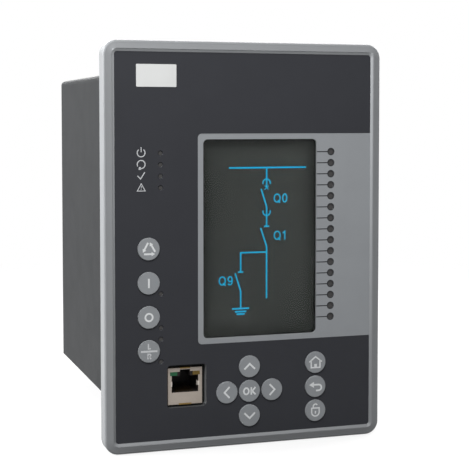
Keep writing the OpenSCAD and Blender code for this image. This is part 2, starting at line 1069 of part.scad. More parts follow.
module backplane_sockets() {
    color("#d8d4c6")
        upright()
            for (x = slot_xs)
                bar(
                    socket_w,
                    socket_h,
                    backplane_back - socket_d,
                    backplane_back,
                    [x + card_face_shift + socket_w / 2 - card_t, plate_y]
                );
}

// Comb of rails between a wall of the case and the cards' edges, with a cross slot for the backplane
module card_guide(wall_y, card_edge_y) {
    side = sign(card_edge_y - wall_y);
    reach = abs(card_edge_y - wall_y) + groove_depth;
    groove = groove_depth + groove_floor_gap;
    base_y = wall_y + side * guide_base_t / 2;
    rail_y = wall_y + side * reach / 2;
    groove_y = wall_y + side * (reach - groove / 2 + lap / 2);
    difference() {
        union() {
            bar(guide_w, guide_base_t, guide_back, guide_front, [0, base_y]);
            for (x = slot_xs)
                bar(guide_rail_w, reach, guide_back, guide_front, [x + card_face_shift - card_t / 2, rail_y]);
        }
        for (x = slot_xs)
            bar(
                card_t + 2 * groove_gap,
                groove + lap,
                guide_back - lap,
                guide_front + lap,
                [x + card_face_shift - card_t / 2, groove_y]
            );
        bar(
            guide_w + lap,
            groove + lap,
            backplane_back - groove_gap,
            backplane_front + groove_gap,
            [0, groove_y]
        );
    }
}

// The guides' upper corners are rounded, so they lie clear inside the case's bends
module card_guides() {
    guide_l = guide_front - guide_back;
    room_w = case_inner_w - side_gap;
    room_h = case_inner_top - case_inner_bottom;
    color("#3d3d3e")
        upright()
            intersection() {
                union() {
                    card_guide(case_inner_top, plate_y + card_h / 2);
                    card_guide(case_inner_bottom, plate_y - card_h / 2);
                }
                translate([0, case_inner_bottom, guide_back])
                    linear_extrude(guide_l)
                        arch_outline(room_w, room_h, case_bend_r);
            }
}

module module_cards() {
    color("#2f6b45")
        upright()
            for (x = slot_xs)
                bar(card_t, card_h, card_back, card_front, [x + card_face_shift - card_t / 2, plate_y]);
}

// As many parts of one height as a card takes between its guides
function row_count(part_h, pitch) = floor((card_h - 2 * groove_depth - part_h) / pitch) + 1;
function plug_h(poles, pitch) = poles * pitch + plug_end;
function pole_ys(poles, pitch, y) = [for (i = [0:poles - 1]) y + (i - (poles - 1) / 2) * pitch];

module card_header(x, y, h) {
    left = x + card_face_shift;
    right = x + plug_w / 2;
    bar(right - left, h, plug_front, plug_front + header_d, [(left + right) / 2, y]);
}

module card_headers() {
    color("#2d7a4c")
        upright() {
            card_header(processor_slot, supply_y, plug_h(supply_poles, narrow_pitch));
            card_header(inputs_slot, plate_y, plug_h(signal_poles, narrow_pitch));
            card_header(outputs_slot, plate_y, plug_h(signal_poles, narrow_pitch));
            card_header(voltage_slot, plate_y, plug_h(voltage_poles, voltage_pitch));
            card_header(current_slot, plate_y, plug_h(current_poles, current_pitch));
        }
}

module card_relays() {
    color("#d9d7cf")
        upright()
            for (i = [0:relay_count - 1])
                bar(
                    relay_w,
                    relay_h,
                    parts_z - relay_d / 2,
                    parts_z + relay_d / 2,
                    [
                        outputs_slot + card_face_shift + relay_w / 2,
                        plate_y + (i - (relay_count - 1) / 2) * relay_pitch
                    ]
                );
}

module card_transformers() {
    color("#6d655c")
        upright()
            for (x = [current_slot, voltage_slot], i = [0:transformer_count - 1])
                translate([0, plate_y + (i - (transformer_count - 1) / 2) * transformer_pitch, parts_z]) {
                    bar(
                        core_w,
                        transformer_side,
                        -transformer_side / 2,
                        transformer_side / 2,
                        [x + card_face_shift + transformer_w / 2, 0]
                    );
                    bar(
                        transformer_w,
                        transformer_side - 2 * core_inset,
                        -transformer_side / 2 + core_inset,
                        transformer_side / 2 - core_inset,
                        [x + card_face_shift + transformer_w / 2, 0]
                    );
                }
}

// Plate over a slot with its two screw holes, and two tabs that lie against the card
module module_plate(x) {
    color("#b4b7b9")
        upright()
            difference() {
                union() {
                    bar(plate_w, plate_h, plate_back, -case_d, [x, plate_y]);
                    for (s = [-1, 1])
                        bar(
                            tab_t,
                            tab_h,
                            -case_d - plate_t / 2,
                            -case_d + tab_l,
                            [
                                x + card_face_shift + tab_t / 2,
                                plate_y + s * (card_h / 2 - tab_h / 2)
                            ]
                        );
                }
                for (y = plate_screw_ys)
                    rod(plate_hole_d, plate_back - lap, -case_d + lap, [x, y]);
                children();
            }
}

module plug_cut(x, y, poles, pitch) {
    bar(
        plug_w + 2 * plug_gap,
        plug_h(poles, pitch) + 2 * plug_gap,
        plate_back - lap,
        -case_d + lap,
        [x, y]
    );
}

module plate_processor() {
    module_plate(processor_slot) {
        plug_cut(processor_slot, supply_y, supply_poles, narrow_pitch);
        bar(
            jack_h + 2 * plug_gap,
            jack_w + 2 * plug_gap,
            plate_back - lap,
            -case_d + lap,
            rear_port_at
        );
    }
}

module plate_inputs() {
    module_plate(inputs_slot)
        plug_cut(inputs_slot, plate_y, signal_poles, narrow_pitch);
}

module plate_outputs() {
    module_plate(outputs_slot)
        plug_cut(outputs_slot, plate_y, signal_poles, narrow_pitch);
}

module plate_voltage() {
    module_plate(voltage_slot)
        plug_cut(voltage_slot, plate_y, voltage_poles, voltage_pitch);
}

module plate_current() {
    module_plate(current_slot)
        plug_cut(current_slot, plate_y, current_poles, current_pitch);
}

// Section of a terminal body: x to the right, y towards the front, with the screws' side set back
module terminal_section() {
    side = plug_w / 2;
    screw_face = plug_back + plug_step;
    polygon([
        [-side, plug_front],
        [-side, plug_back + plug_chamfer],
        [-side + plug_chamfer, plug_back],
        [0, plug_back],
        [0, screw_face],
        [side - plug_chamfer, screw_face],
        [side, screw_face + plug_chamfer],
        [side, plug_front]
    ]);
}

// Terminal body with a square wire entry and a screw hole for each pole
module terminal_body(x, y, poles, pitch) {
    body_h = plug_h(poles, pitch);
    upright()
        difference() {
            translate([x, y + body_h / 2, 0])
                rotate([90, 0, 0])
                    linear_extrude(body_h)
                        terminal_section();
            for (py = pole_ys(poles, pitch, y)) {
                bar(wire_w, wire_h, plug_back - lap, plug_back + wire_depth, [x + wire_shift, py]);
                rod(
                    terminal_hole_d,
                    plug_back - lap,
                    plug_back + plug_step + terminal_screw_sink + terminal_screw_l,
                    [x + screw_shift, py]
                );
            }
            for (i = [1:poles - 1])
                pole_groove([x, y + (i - poles / 2) * pitch]);
        }
}

// Shallow groove between two poles, on the wires' side and on the screws' side
module pole_groove(at) {
    half_w = plug_w / 2 + lap;
    bar(half_w, pole_groove_w, plug_back - lap, plug_back + pole_groove_d, at - [half_w / 2, 0]);
    bar(
        half_w,
        pole_groove_w,
        plug_back - lap,
        plug_back + plug_step + pole_groove_d,
        at + [half_w / 2, 0]
    );
}

module plug_supply() {
    color("#2f8a55")
        terminal_body(processor_slot, supply_y, supply_poles, narrow_pitch);
}

module plug_inputs() {
    color("#2f8a55")
        terminal_body(inputs_slot, plate_y, signal_poles, narrow_pitch);
}

module plug_outputs() {
    color("#2f8a55")
        terminal_body(outputs_slot, plate_y, signal_poles, narrow_pitch);
}

module plug_voltage() {
    color("#2f8a55")
        terminal_body(voltage_slot, plate_y, voltage_poles, voltage_pitch);
}

module block_current() {
    color("#2b2c2e")
        terminal_body(current_slot, plate_y, current_poles, current_pitch);
}

module screw_row(x, y, poles, pitch) {
    head = plug_back + plug_step + terminal_screw_sink;
    for (py = pole_ys(poles, pitch, y))
        difference() {
            rod(terminal_screw_d, head, head + terminal_screw_l, [x + screw_shift, py]);
            bar(
                terminal_screw_d + lap,
                terminal_slot_w,
                head - lap,
                head + terminal_slot_d,
                [x + screw_shift, py]
            );
        }
}

module terminal_screws() {
    color("#c2c3c1")
        upright() {
            screw_row(processor_slot, supply_y, supply_poles, narrow_pitch);
            screw_row(inputs_slot, plate_y, signal_poles, narrow_pitch);
            screw_row(outputs_slot, plate_y, signal_poles, narrow_pitch);
            screw_row(voltage_slot, plate_y, voltage_poles, voltage_pitch);
            screw_row(current_slot, plate_y, current_poles, current_pitch);
        }
}

module plate_screws() {
    head = plate_back - plate_screw_head_t;
    color("#c2c3c1")
        upright()
            for (x = slot_xs, y = plate_screw_ys)
                difference() {
                    union() {
                        rod(plate_screw_head_d, head, plate_back, [x, y]);
                        rod(plate_screw_d, head, rear_inner + plate_screw_tip, [x, y]);
                    }
                    bar(plate_cross_l, plate_cross_w, head - lap, head + plate_cross_d, [x, y]);
                    bar(plate_cross_w, plate_cross_l, head - lap, head + plate_cross_d, [x, y]);
                }
}

module earth_terminal() {
    earth_at = [earth_x, earth_y];
    washer_back = -case_d - earth_washer_t;
    head_front = washer_back - side_gap / 2;
    head_back = head_front - earth_head_t;
    color("#b9a24a")
        upright() {
            difference() {
                rod(earth_washer_d, washer_back, -case_d, earth_at);
                rod(earth_hole_d, washer_back - lap, -case_d + lap, earth_at);
            }
            difference() {
                union() {
                    rod(earth_head_d, head_back, head_front, earth_at);
                    rod(earth_screw_d, head_back, rear_inner + earth_tip, earth_at);
                }
                bar(earth_head_d + lap, earth_slot_w, head_back - lap, head_back + earth_slot_d, earth_at);
            }
        }
}

// The rear socket lies on the processor's card, so its foot points to the card
module at_rear_port() {
    upright()
        translate([rear_port_at.x, rear_port_at.y, rear_port_face])
            rotate([180, 0, 90])
                children();
}

module rear_port_shield() {
    color("#a79d92")
        at_rear_port()
            jack_shield();
}

module rear_port_insert() {
    color("#1b1a19")
        at_rear_port()
            jack_insert();
}

front_frame();
front_overlay();
display_field();
display_window();
lcd_frame();
lcd_panel();
lcd_backlight();
front_board();
board_screws();
key_domes();
alarm_light_bar();
status_light_bars();
board_lights();
port_shield();
port_insert();
port_contacts();
port_light_green();
port_light_amber();
port_board();
port_pillars();
key(control_keys[0], ears_upright);  // key_select
key(control_keys[1], ears_upright);  // key_close
key(control_keys[2], ears_upright);  // key_open
key(control_keys[3], ears_upright);  // key_local_remote
key(up_key, ears_level);  // key_up
key(left_key, ears_upright);  // key_left
key(ok_key, ears_slanted);  // key_ok
key(right_key, ears_upright);  // key_right
key(down_key, ears_level);  // key_down
key(page_keys[0], ears_level);  // key_home
key(page_keys[1], ears_level);  // key_back
key(page_keys[2], ears_level);  // key_lock
panel_gasket();
frame_screws();
case_shell();
case_floor();
link_connectors();
link_ribbon();
backplane();
backplane_sockets();
card_guides();
module_cards();
card_headers();
card_relays();
card_transformers();
plate_processor();
plate_inputs();
plate_outputs();
plate_voltage();
plate_current();
plug_supply();
plug_inputs();
plug_outputs();
plug_voltage();
block_current();
terminal_screws();
plate_screws();
earth_terminal();
rear_port_shield();
rear_port_insert();
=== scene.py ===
import math

import bmesh
import bpy
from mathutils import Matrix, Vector


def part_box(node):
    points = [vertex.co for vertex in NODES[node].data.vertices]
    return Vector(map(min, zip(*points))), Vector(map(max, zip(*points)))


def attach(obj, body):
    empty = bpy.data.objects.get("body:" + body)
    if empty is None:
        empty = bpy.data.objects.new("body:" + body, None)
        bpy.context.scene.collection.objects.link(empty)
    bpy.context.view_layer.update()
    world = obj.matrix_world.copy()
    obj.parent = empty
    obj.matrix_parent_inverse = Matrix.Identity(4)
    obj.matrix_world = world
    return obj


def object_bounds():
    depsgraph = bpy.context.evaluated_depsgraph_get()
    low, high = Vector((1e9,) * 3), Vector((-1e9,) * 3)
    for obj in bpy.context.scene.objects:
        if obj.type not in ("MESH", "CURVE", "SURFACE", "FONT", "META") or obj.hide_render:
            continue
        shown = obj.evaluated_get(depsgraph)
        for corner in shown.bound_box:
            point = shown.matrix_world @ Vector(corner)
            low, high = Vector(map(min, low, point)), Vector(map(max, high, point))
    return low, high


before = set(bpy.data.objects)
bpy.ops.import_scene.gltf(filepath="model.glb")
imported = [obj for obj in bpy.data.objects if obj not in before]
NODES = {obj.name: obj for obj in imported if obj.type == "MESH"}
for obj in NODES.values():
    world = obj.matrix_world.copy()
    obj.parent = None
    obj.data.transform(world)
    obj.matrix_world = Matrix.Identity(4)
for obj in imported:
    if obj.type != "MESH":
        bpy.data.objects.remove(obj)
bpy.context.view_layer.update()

MM = 0.001
BLACK = (0, 0, 0, 1)
WHITE_LIGHT = (1, 1, 1, 1)


def srgb(red, green, blue):
    """A colour written as 0 to 255 on screen, as linear RGBA."""
    def linear(value):
        share = value / 255
        return share / 12.92 if share <= 0.04045 else ((share + 0.055) / 1.055) ** 2.4
    return (linear(red), linear(green), linear(blue), 1.0)


def shade(colour, factor):
    return tuple(min(1.0, c * factor) for c in colour[:3]) + (1.0,)


# Camera at the photograph's viewing angle, in millimetres and degrees. The photograph's frame reaches
# further below the lens axis than above it, which the upright shift gives.
CAMERA_AT = (-171.8, -522.8, 54.5)
CAMERA_YAW = 17.89
CAMERA_DOWN = 3.09
CAMERA_LENS = 95.48
CAMERA_SHIFT = -0.1
SENSOR = 36
CLIP_NEAR = 0.01
CLIP_FAR = 50


def make_camera():
    data = bpy.data.cameras.new("camera")
    data.lens = CAMERA_LENS
    data.sensor_width = SENSOR
    data.sensor_fit = "HORIZONTAL"
    data.shift_y = CAMERA_SHIFT
    data.clip_start = CLIP_NEAR
    data.clip_end = CLIP_FAR
    camera = bpy.data.objects.new("camera", data)
    camera.location = Vector(CAMERA_AT) * MM
    camera.rotation_euler = (math.radians(90 - CAMERA_DOWN), 0, math.radians(-CAMERA_YAW))
    bpy.context.scene.collection.objects.link(camera)
    bpy.context.scene.camera = camera


# Shader nodes

def add_node(tree, kind, inputs=None, **settings):
    """A node with settings on it and values or links on its inputs."""
    made = tree.nodes.new(kind)
    for key, value in settings.items():
        setattr(made, key, value)
    for key, value in (inputs or {}).items():
        socket = made.inputs[key]
        if isinstance(value, bpy.types.NodeSocket):
            tree.links.new(value, socket)
        else:
            socket.default_value = value
    return made


def math_node(tree, operation, first, second=0.0):
    return add_node(tree, "ShaderNodeMath", {0: first, 1: second}, operation=operation).outputs[0]


def vector_node(tree, operation, first, second=(0, 0, 0)):
    return add_node(tree, "ShaderNodeVectorMath", {0: first, 1: second}, operation=operation).outputs


def map_range(tree, value, low, high, to_low, to_high):
    made = add_node(tree, "ShaderNodeMapRange", {
        "Value": value, "From Min": low, "From Max": high, "To Min": to_low, "To Max": to_high,
    }, interpolation_type="SMOOTHSTEP")
    return made.outputs["Result"]


def mix_colour(tree, share, first, second):
    made = add_node(tree, "ShaderNodeMix", {0: share, 6: first, 7: second}, data_type="RGBA")
    return made.outputs[2]


def noise(tree, place, scale, detail, roughness):
    made = add_node(tree, "ShaderNodeTexNoise", {
        "Vector": place, "Scale": scale, "Detail": detail, "Roughness": roughness,
    })
    return made.outputs["Fac"]


# Cosines between the true and the bevelled normal at which an edge starts to show and shows in full
EDGE_STARTS = 0.98
EDGE_FULL = 0.75


def edge_mask(tree, radius):
    """1 along sharp edges, where a bevelled normal departs from the true one."""
    bevel = add_node(tree, "ShaderNodeBevel", {"Radius": radius}, samples=4)
    true_normal = add_node(tree, "ShaderNodeNewGeometry").outputs["Normal"]
    cosine = vector_node(tree, "DOT_PRODUCT", bevel.outputs["Normal"], true_normal)["Value"]
    return map_range(tree, cosine, EDGE_STARTS, EDGE_FULL, 0.0, 1.0)


# Noise values between which each effect rises from none to its full share
MOTTLE_RANGE = (0.3, 0.7)
SPECKLE_RANGE = (0.35, 0.7)
GLOSS_RANGE = (0.25, 0.75)

# Brightness of the speckles, spread of the roughness about its value, scale of the broad noise, and
# height of the relief as a share of the grain
SPECKLE_TINT = 2.2
GLOSS_SPREAD = 0.04
BROAD_SCALE = 70.0
RELIEF_SHARE = 0.5


def surface(
    name, colour, roughness, grain=0.25, bump=0.15, mottle=0.05, speckle=0.04, wear=1.15,
    wear_radius=0.25, metallic=0.0, specular=0.5, paint=None, brushed=None, **sockets,
):
    """Procedural finish. grain and wear_radius are in millimetres; mottle and speckle are shares.

    brushed holds a share for each axis, and a small one draws the grain out into lines along that axis.
    """
    made = bpy.data.materials.new(name)
    made.use_nodes = True
    tree = made.node_tree
    shader = tree.nodes["Principled BSDF"]
    place = add_node(tree, "ShaderNodeTexCoord").outputs["Object"]
    drawn = place if brushed is None else vector_node(tree, "MULTIPLY", place, brushed)["Vector"]
    fine = noise(tree, drawn, 1 / (grain * MM), detail=3.0, roughness=0.6)
    broad = noise(tree, place, BROAD_SCALE, detail=4.0, roughness=0.55)
    base = colour if paint is None else paint(tree, place, colour)
    dark = mix_colour(tree, map_range(tree, broad, *MOTTLE_RANGE, 0.0, mottle), base, BLACK)
    specks = map_range(tree, fine, *SPECKLE_RANGE, 0.0, speckle)
    speckled = mix_colour(tree, specks, dark, shade(colour, SPECKLE_TINT))
    edges = math_node(tree, "MULTIPLY", edge_mask(tree, wear_radius * MM), broad)
    worn = mix_colour(tree, edges, speckled, shade(colour, wear))
    smooth, rough = roughness * (1 - GLOSS_SPREAD), min(1.0, roughness * (1 + GLOSS_SPREAD))
    tree.links.new(worn, shader.inputs["Base Color"])
    tree.links.new(map_range(tree, broad, *GLOSS_RANGE, smooth, rough), shader.inputs["Roughness"])
    if bump:
        relief = add_node(tree, "ShaderNodeBump", {
            "Height": fine, "Strength": bump, "Distance": grain * MM * RELIEF_SHARE,
        })
        tree.links.new(relief.outputs["Normal"], shader.inputs["Normal"])
    shader.inputs["Metallic"].default_value = metallic
    shader.inputs["Specular IOR Level"].default_value = specular
    for key, value in sockets.items():
        shader.inputs[key.replace("_", " ")].default_value = value
    return made


# Paints give a finish its colour by place. First come the shares of the colour that are left where a
# paint darkens it, and the width in millimetres over which a sill's edge fades.
EDGE_SHADE = 0.2
SILL_SHADE = 0.1
SILL_SOFTNESS = 0.25


def even_paint(tree, place, colour):
    return colour


def inside_gap(tree, place, box):
    """How far a point lies inside an upright rectangle: left, right, bottom and top in millimetres."""
    left, right, bottom, top = (v * MM for v in box)
    axes = add_node(tree, "ShaderNodeSeparateXYZ", {"Vector": place})
    gaps = []
    for axis, low, high in (("X", left, right), ("Z", bottom, top)):
        offset = math_node(tree, "SUBTRACT", axes.outputs[axis], (low + high) / 2)
        reach = math_node(tree, "ABSOLUTE", offset)
        gaps.append(math_node(tree, "SUBTRACT", (high - low) / 2, reach))
    return math_node(tree, "MINIMUM", *gaps)


def dark_edges(box, start, end, depth, under=even_paint):
    """Another paint, with painted shade towards the edges of a rectangle, as a display has inside its window.
    """
    def paint(tree, place, colour):
        gap = inside_gap(tree, place, box)
        share = map_range(tree, gap, start * MM, end * MM, depth, 0.0)
        return mix_colour(tree, share, under(tree, place, colour), shade(colour, EDGE_SHADE))
    return paint


def lip_highlight(box, width, low_factor, high_factor):
    """A paint that puts a painted highlight on a thin lip just outside a rectangle, more towards its top."""
    def paint(tree, place, colour):
        gap = inside_gap(tree, place, box)
        inner = map_range(tree, gap, -width * MM, -width * MM / 2, 0.0, 1.0)
        height = add_node(tree, "ShaderNodeSeparateXYZ", {"Vector": place}).outputs["Z"]
        rise = map_range(tree, height, box[2] * MM, box[3] * MM, 0.0, 1.0)
        highlight = mix_colour(tree, rise, shade(colour, low_factor), shade(colour, high_factor))
        return mix_colour(tree, inner, colour, highlight)
    return paint


def dark_sill(box, depth, under):
    """Another paint, with painted shade inside a rectangle that has soft edges."""
    def paint(tree, place, colour):
        gap = inside_gap(tree, place, box)
        share = map_range(tree, gap, 0.0, SILL_SOFTNESS * MM, 0.0, depth)
        return mix_colour(tree, share, under(tree, place, colour), shade(colour, SILL_SHADE))
    return paint


# Rectangles on the front in millimetres: left, right, bottom and top. A broad painted shade darkens the
# display from its left and lower edges, so the rectangle for it reaches past the other two.
WINDOW = (-19.65, 32.9, -40.4, 46.35)
LOWER_LEFT_SHADE = (WINDOW[0], 75.0, WINDOW[2], 90.0)
OVERLAY_EDGE = (-58.75, 58.75, -83.75, 83.75)
# The port opening's lower wall, which takes painted shade
PORT_SILL = (-36.5, -18.0, -70.4, -69.0)

# The frame's paint: a painted highlight on the lip round the film, brighter towards the top, and painted
# shade on the port opening's lower wall
FRAME_PAINT = dark_sill(
    PORT_SILL, depth=0.85,
    under=lip_highlight(OVERLAY_EDGE, width=1.2, low_factor=1.1, high_factor=1.95),
)
# Painted shade on the display: dark within a few millimetres of its window's edges, and broad from its left
# and lower edges
DISPLAY_SHADE_PAINT = dark_edges(
    WINDOW, start=-1.5, end=8.0, depth=0.8,
    under=dark_edges(LOWER_LEFT_SHADE, start=-5.0, end=45.0, depth=0.25),
)
PRINT_GRAIN = {"roughness": 0.5, "grain": 0.15, "bump": 0.1}

# Finishes of the front
SILVER = surface(
    "silver_paint", srgb(126, 128, 130), roughness=0.45, grain=0.12, bump=0.12, mottle=0.03,
    speckle=0.08, wear=1.2, metallic=0.05, specular=0.15, paint=FRAME_PAINT,
)
OVERLAY = surface(
    "overlay_film", srgb(53, 54, 58), roughness=0.6, grain=0.18, bump=0.25, mottle=0.04,
    speckle=0.05, wear=1.2, specular=0.08,
)
FIELD = surface(
    "field_film", srgb(140, 143, 146), roughness=0.55, grain=0.2, bump=0.25, mottle=0.04,
    speckle=0.08, wear=1.1, specular=0.15,
)
KEY = surface(
    "key_cap", srgb(136, 139, 142), roughness=0.5, grain=0.2, bump=0.15, mottle=0.05,
    speckle=0.06, wear=1.2, specular=0.2,
)
SIGN = surface(
    "sign_print", srgb(214, 216, 217), mottle=0.04, speckle=0.03, specular=0.2, **PRINT_GRAIN,
)
FAINT = surface(
    "faint_print", srgb(196, 198, 200), mottle=0.04, speckle=0.03, specular=0.2, **PRINT_GRAIN,
)
ICON = surface(
    "icon_print", srgb(186, 188, 190), mottle=0.04, speckle=0.03, specular=0.2, **PRINT_GRAIN,
)
LINE = surface("line_print", srgb(46, 47, 50), specular=0.1, **PRINT_GRAIN)
PLATE = surface(
    "bare_plate", srgb(208, 209, 208), roughness=0.5, grain=0.2, bump=0.12, mottle=0.04,
    speckle=0.03, wear=1.1, specular=0.2,
)
DISPLAY = surface(
    "display_face", srgb(51, 53, 52), roughness=0.4, grain=0.3, bump=0.0, mottle=0.05,
    speckle=0.03, specular=0.05, paint=DISPLAY_SHADE_PAINT,
)
GLOW = surface(
    "screen_lines", srgb(6, 80, 100), roughness=0.5, bump=0.0, mottle=0.03, speckle=0.02,
    specular=0.05, Emission_Color=srgb(6, 158, 206), Emission_Strength=0.8,
)
PANE = surface(
    "clear_pane", srgb(250, 252, 250), roughness=0.1, bump=0.0, mottle=0.02, speckle=0.0,
    wear=1.0, specular=0.05, Transmission_Weight=1.0, IOR=1.15,
)
LENS = surface(
    "smoked_lens", srgb(65, 64, 64), roughness=0.3, grain=0.3, bump=0.05, mottle=0.1,
    speckle=0.03, specular=0.2,
)

# Finishes of the sockets
SHIELD = surface(
    "tinned_sheet", srgb(160, 150, 140), roughness=0.4, grain=0.3, bump=0.12, mottle=0.12,
    speckle=0.06, wear=1.25, metallic=0.35,
)
TAB = surface(
    "bright_tab", srgb(206, 197, 188), roughness=0.4, grain=0.3, bump=0.1, mottle=0.08,
    speckle=0.05, wear=1.1, metallic=0.2,
)
SPRING = surface(
    "spring_brass", srgb(122, 98, 50), roughness=0.4, grain=0.3, bump=0.1, mottle=0.2,
    speckle=0.05, metallic=0.5,
)
CONTACT = surface(
    "gold_contact", srgb(60, 46, 26), roughness=0.4, grain=0.3, bump=0.1, mottle=0.2,
    speckle=0.05, metallic=0.8,
)
SOCKET = surface(
    "socket_black", srgb(33, 29, 28), roughness=0.5, grain=0.3, bump=0.15, mottle=0.1, specular=0.15,
)
GREEN_LIGHT = surface(
    "green_window", srgb(14, 84, 48), roughness=0.3, bump=0.05, mottle=0.15, specular=0.3,
)
AMBER_LIGHT = surface(
    "amber_window", srgb(104, 82, 20), roughness=0.3, bump=0.05, mottle=0.15, specular=0.3,
)

# Finishes of the case, the rear and the inside
CASE = surface(
    "case_coat", srgb(45, 46, 47), roughness=0.5, grain=0.35, bump=0.3, mottle=0.03,
    speckle=0.06, wear=1.4, wear_radius=0.4, specular=0.02,
)
STEEL = surface(
    "zinc_steel", srgb(150, 152, 154), roughness=0.35, grain=0.3, bump=0.1, mottle=0.12,
    speckle=0.06, wear=1.2, metallic=0.9,
)
ALLOY = surface(
    "brushed_alloy", srgb(160, 163, 166), roughness=0.42, grain=0.35, bump=0.15, mottle=0.06,
    speckle=0.16, wear=1.2, metallic=0.6, brushed=(1, 1, 0.03),
)
BRASS = surface(
    "brass", srgb(168, 134, 70), roughness=0.35, grain=0.3, bump=0.1, mottle=0.12,
    speckle=0.05, wear=1.25, metallic=0.8,
)
GASKET = surface(
    "gasket_foam", srgb(36, 36, 38), roughness=0.8, grain=0.6, bump=0.6, mottle=0.15, specular=0.15,
)
GREEN_BLOCK = surface(
    "green_block", srgb(40, 116, 74), roughness=0.5, grain=0.3, bump=0.2, mottle=0.06,
    speckle=0.04, wear=1.3, specular=0.3,
)
BLACK_BLOCK = surface(
    "black_block", srgb(42, 43, 45), roughness=0.5, grain=0.3, bump=0.2, mottle=0.06,
    speckle=0.04, wear=1.5, specular=0.3,
)
BOARD = surface(
    "board_resist", srgb(38, 96, 60), roughness=0.45, grain=0.4, bump=0.1, mottle=0.1, specular=0.35,
)
DARK_BOARD = surface(
    "dark_board", srgb(26, 28, 27), roughness=0.5, grain=0.4, bump=0.1, mottle=0.1, specular=0.15,
)
IVORY = surface(
    "ivory_moulding", srgb(214, 210, 198), roughness=0.5, grain=0.3, bump=0.15, mottle=0.06,
)
VARNISH = surface(
    "varnished_core", srgb(100, 90, 80), roughness=0.45, grain=0.8, bump=0.3, mottle=0.25,
)
RIBBON = surface(
    "flat_cable", srgb(140, 142, 143), roughness=0.55, grain=0.6, bump=0.2, mottle=0.06,
)
DIFFUSER = surface("diffuser", srgb(226, 228, 224), roughness=0.5, bump=0.05)

NODE_FINISH = {
    SILVER: ["front_frame"],
    OVERLAY: ["front_overlay"],
    FIELD: ["display_field"],
    PANE: ["display_window"],
    DISPLAY: ["lcd_panel"],
    DIFFUSER: ["lcd_backlight", "board_lights"],
    KEY: [name for name in NODES if name.startswith("key_") and name != "key_domes"],
    LENS: ["alarm_light_bar", "status_light_bars"],
    SHIELD: ["port_shield", "rear_port_shield"],
    SOCKET: ["port_insert", "rear_port_insert"],
    BRASS: ["earth_terminal"],
    CONTACT: ["port_contacts"],
    GREEN_LIGHT: ["port_light_green"],
    AMBER_LIGHT: ["port_light_amber"],
    GASKET: ["panel_gasket"],
    CASE: ["case_shell", "case_floor"],
    STEEL: [
        "board_screws", "key_domes", "port_pillars", "frame_screws", "terminal_screws", "plate_screws",
        "lcd_frame",
    ],
    ALLOY: ["plate_processor", "plate_inputs", "plate_outputs", "plate_voltage", "plate_current"],
    GREEN_BLOCK: ["plug_supply", "plug_inputs", "plug_outputs", "plug_voltage", "card_headers"],
    BLACK_BLOCK: ["block_current", "link_connectors", "card_guides"],
    BOARD: ["backplane", "module_cards"],
    DARK_BOARD: ["front_board", "port_board"],
    IVORY: ["backplane_sockets", "card_relays"],
    VARNISH: ["card_transformers"],
    RIBBON: ["link_ribbon"],
}


def dress_nodes():
    for finish, names in NODE_FINISH.items():
        for name in names:
            slots = NODES[name].data.materials
            slots.clear()
            slots.append(finish)


def new_piece(name, mesh, finish, body):
    """Turns a mesh's faces outwards and makes it a piece that rides on a body."""
    bmesh.ops.recalc_face_normals(mesh, faces=mesh.faces)
    data = bpy.data.meshes.new(name)
    mesh.to_mesh(data)
    mesh.free()
    data.materials.append(finish)
    made = bpy.data.objects.new(name, data)
    bpy.context.scene.collection.objects.link(made)
    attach(made, body)
    return made


def join_rings(mesh, rings, closed=False):
    """Walls between rings of four corners, with an end face on each end of an open run."""
    pairs = list(zip(rings, rings[1:]))
    if closed:
        pairs.append((rings[-1], rings[0]))
    for here, there in pairs:
        for k in range(4):
            mesh.faces.new((here[k], here[(k + 1) % 4], there[(k + 1) % 4], there[k]))
    if not closed:
        mesh.faces.new(rings[0][::-1])
        mesh.faces.new(rings[-1])


# Sheet fingers of the service socket, in millimetres
FINGER_SHEET = 0.12
FINGER_REACH = 1.6
FINGER_BOW = 0.3
UPPER_FINGER_WIDTH = 4.5
UPPER_FINGER_LIP = 0.35
LOWER_FINGER_WIDTH = 5.7
LOWER_FINGER_LIP = 0.5
TAB_WIDTH = 1.9
TAB_LIP = 0.4
TAB_REACH = 2.4
TAB_BOW = 0.45
TAB_RISE = 0.92
MOUTH_HALF = 6.0


def bowed_line(start, along, rise, length, bow, steps=10):
    """Points along a finger of sheet that bows between its two ends."""
    shares = [i / steps for i in range(steps + 1)]
    return [start + along * length * s + rise * bow * math.sin(math.pi * s) for s in shares]


def sheet_strip(mesh, outer, inner, across, width):
    """A strip of sheet between two lines of points, with that width across them."""
    half = Vector(across) * width / 2
    join_rings(mesh, [
        [mesh.verts.new((p + half * side) * MM) for p, side in ((o, -1), (o, 1), (i, 1), (i, -1))]
        for o, i in zip(outer, inner)
    ])


def folded_finger(mesh, corner, rise, across, width, lip, reach, bow):
    """A sheet finger that lies on the socket's face, folds over its edge and runs back with a bow."""
    corner, rise = Vector(corner), Vector(rise)
    forwards = Vector((0, -FINGER_SHEET, 0))
    backwards = Vector((0, 1, 0))
    inner = [corner - rise * lip] + bowed_line(corner, backwards, rise, reach, bow)
    outer = [inner[0] + forwards, corner + forwards + rise * FINGER_SHEET]
    outer += [p + rise * FINGER_SHEET for p in inner[2:]]
    sheet_strip(mesh, outer, inner, across, width)


